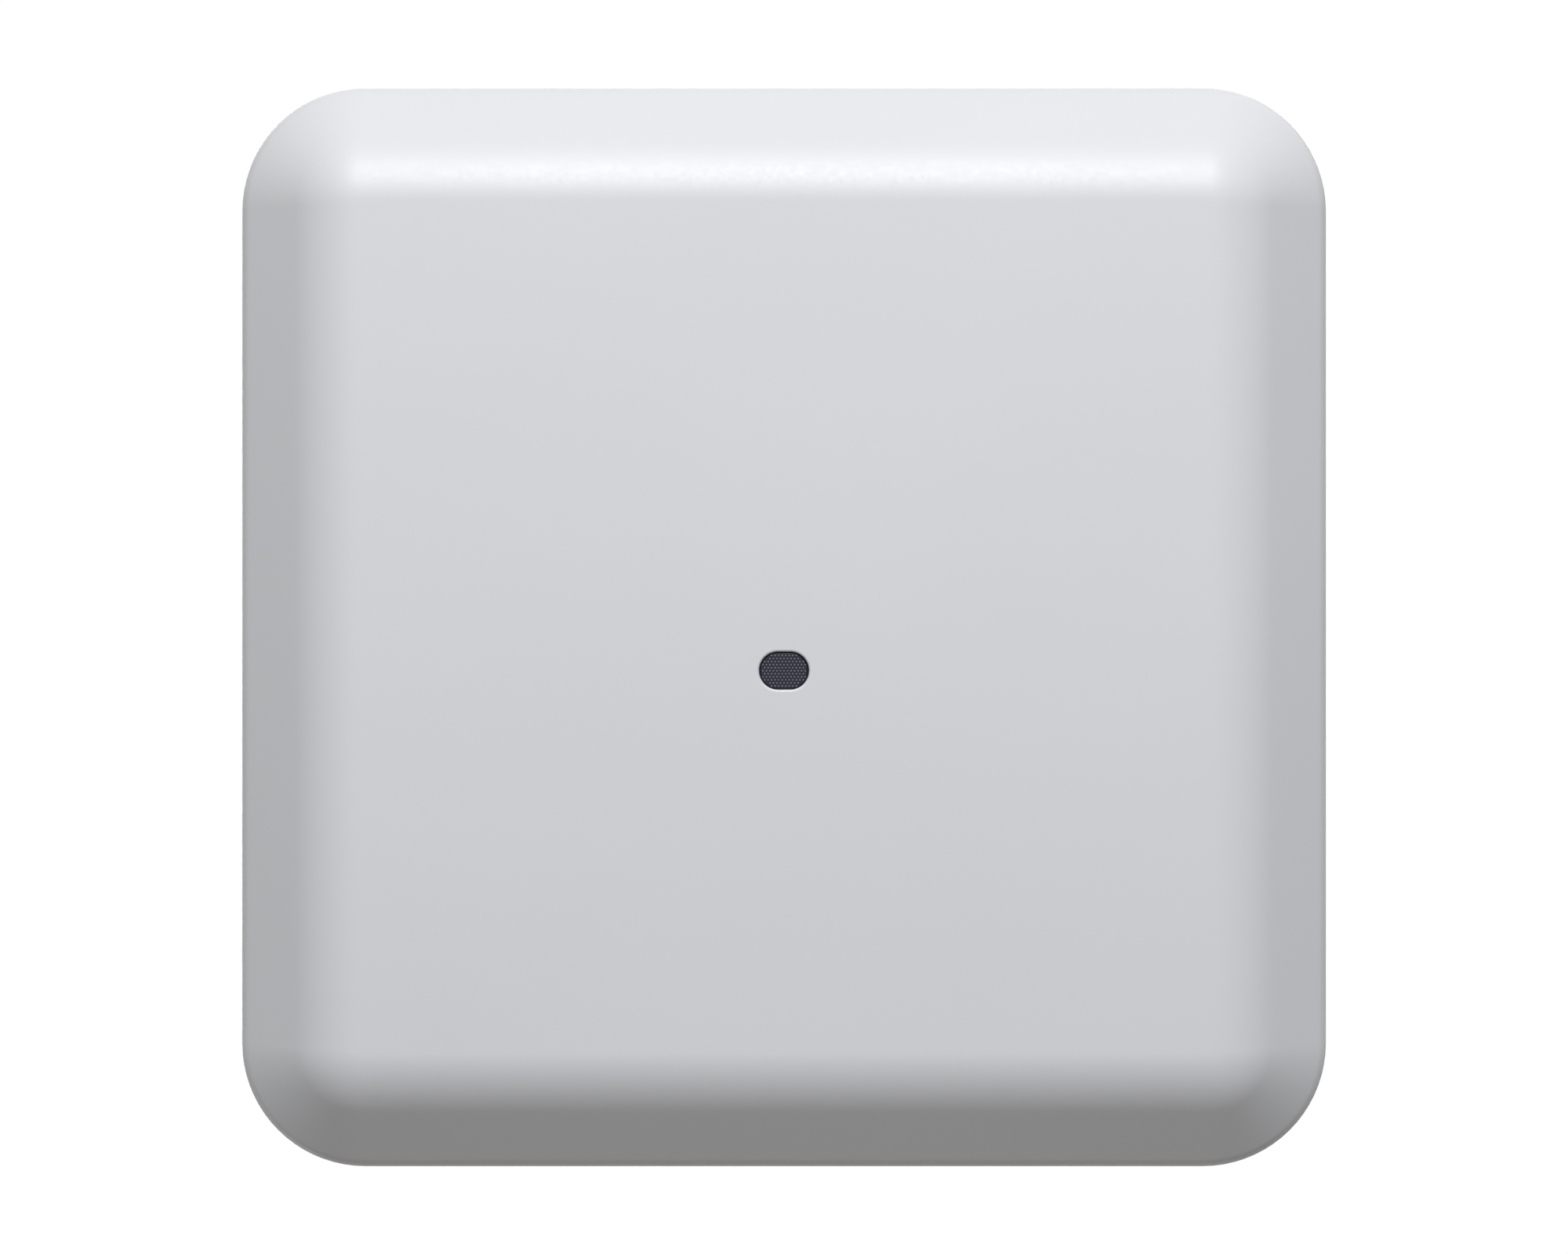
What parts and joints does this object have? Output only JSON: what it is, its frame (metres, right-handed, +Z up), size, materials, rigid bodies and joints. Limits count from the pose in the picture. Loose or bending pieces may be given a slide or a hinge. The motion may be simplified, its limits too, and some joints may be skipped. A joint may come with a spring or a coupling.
{
  "type": "ceiling access point",
  "caption": "Square wireless access point that hangs face down from a steel ceiling bracket with grid clips, with a bay of sockets at the back.",
  "frame": {"origin": "centre of the bracket's ceiling face, where it meets the ceiling or the grid's tee bar", "axes": "+Z up into the ceiling, so the white face points down along -Z; -Y towards the port bay; +X to the right when looking from the port bay side"},
  "size_m": [0.2204, 0.2194, 0.0627],
  "materials": {
    "bracket_steel": "bright zinc plate, satin",
    "clip_steel": "bright zinc plate, satin",
    "screw_steel": "zinc plated, turned",
    "spring_steel": "rolled spring strip, fine grain",
    "cover_plastic": "cool white, fine spark-eroded texture",
    "lens_smoke": "smoked, with a fine dot grid behind it",
    "clear_acrylic": "polished clear",
    "cast_metal": "die cast, blasted, clear passivated",
    "seal_rubber": "matt silicone",
    "label_film": "blank polyester label, satin",
    "board_laminate": "green solder mask",
    "shield_plate": "tin plate, satin",
    "pad_silicone": "soft matt silicone",
    "jack_shell": "nickel plated shell, satin",
    "black_plastic": "moulded, fine matt",
    "antenna_alloy": "stamped phosphor bronze",
    "lead_jacket": "thin fluoropolymer jacket"
  },
  "bodies": {
    "bracket": {"mounting_bracket": "bracket_steel", "grid_clip_left": "clip_steel", "grid_clip_right": "clip_steel", "clip_screw_left_a": "screw_steel", "clip_screw_left_b": "screw_steel", "clip_screw_right_a": "screw_steel", "clip_screw_right_b": "screw_steel", "jaw_screw_left": "screw_steel", "jaw_screw_right": "screw_steel", "latch_spring_foot": "spring_steel", "latch_rivet": "screw_steel"},
    "latch": {"latch_spring_blade": "spring_steel"},
    "jaw_left": {"clip_jaw_left": "clip_steel"},
    "jaw_right": {"clip_jaw_right": "clip_steel"},
    "unit": {"radome_cover": "cover_plastic", "status_lens": "lens_smoke", "light_pipe": "clear_acrylic", "status_led": "clear_acrylic", "base_casting": "cast_metal", "cover_gasket": "seal_rubber", "cover_screw_1": "screw_steel", "cover_screw_2": "screw_steel", "cover_screw_3": "screw_steel", "cover_screw_4": "screw_steel", "mounting_stud_1": "screw_steel", "mounting_stud_2": "screw_steel", "mounting_stud_3": "screw_steel", "mounting_stud_4": "screw_steel", "rating_label": "label_film", "main_board": "board_laminate", "board_screw_1": "screw_steel", "board_screw_2": "screw_steel", "board_screw_3": "screw_steel", "board_screw_4": "screw_steel", "shield_can_processor": "shield_plate", "shield_can_radio_left": "shield_plate", "shield_can_radio_right": "shield_plate", "thermal_pad_processor": "pad_silicone", "thermal_pad_radio_left": "pad_silicone", "thermal_pad_radio_right": "pad_silicone", "ethernet_jack_main": "jack_shell", "ethernet_jack_second": "jack_shell", "console_jack": "jack_shell", "usb_socket": "jack_shell", "dc_power_jack": "black_plastic", "mode_switch": "black_plastic", "antenna_reflector": "shield_plate", "antenna_element_1": "antenna_alloy", "antenna_element_2": "antenna_alloy", "antenna_element_3": "antenna_alloy", "antenna_element_4": "antenna_alloy", "antenna_lead_1": "lead_jacket", "antenna_lead_2": "lead_jacket", "antenna_lead_3": "lead_jacket", "antenna_lead_4": "lead_jacket", "scanning_antenna": "board_laminate"},
    "button": {"mode_button": "black_plastic"}
  },
  "joints": [
    {"name": "unit_slide", "type": "slide", "parent": "bracket", "child": "unit", "axis": [0, 1, 0], "range_m": [0, 0.01]},
    {"name": "latch_lift", "type": "hinge", "parent": "bracket", "child": "latch", "pos_m": [0, 0.054, -0.0059], "axis": [1, 0, 0], "range_deg": [0, 7], "stiffness_Nm_per_rad": 0.5},
    {"name": "jaw_left_slide", "type": "slide", "parent": "bracket", "child": "jaw_left", "axis": [0, -1, 0], "range_m": [0, 0.008]},
    {"name": "jaw_right_slide", "type": "slide", "parent": "bracket", "child": "jaw_right", "axis": [0, -1, 0], "range_m": [0, 0.008]},
    {"name": "mode_button_press", "type": "slide", "parent": "unit", "child": "button", "axis": [0, 1, 0], "range_m": [0, 0.0008], "stiffness_N_per_m": 800}
  ]
}
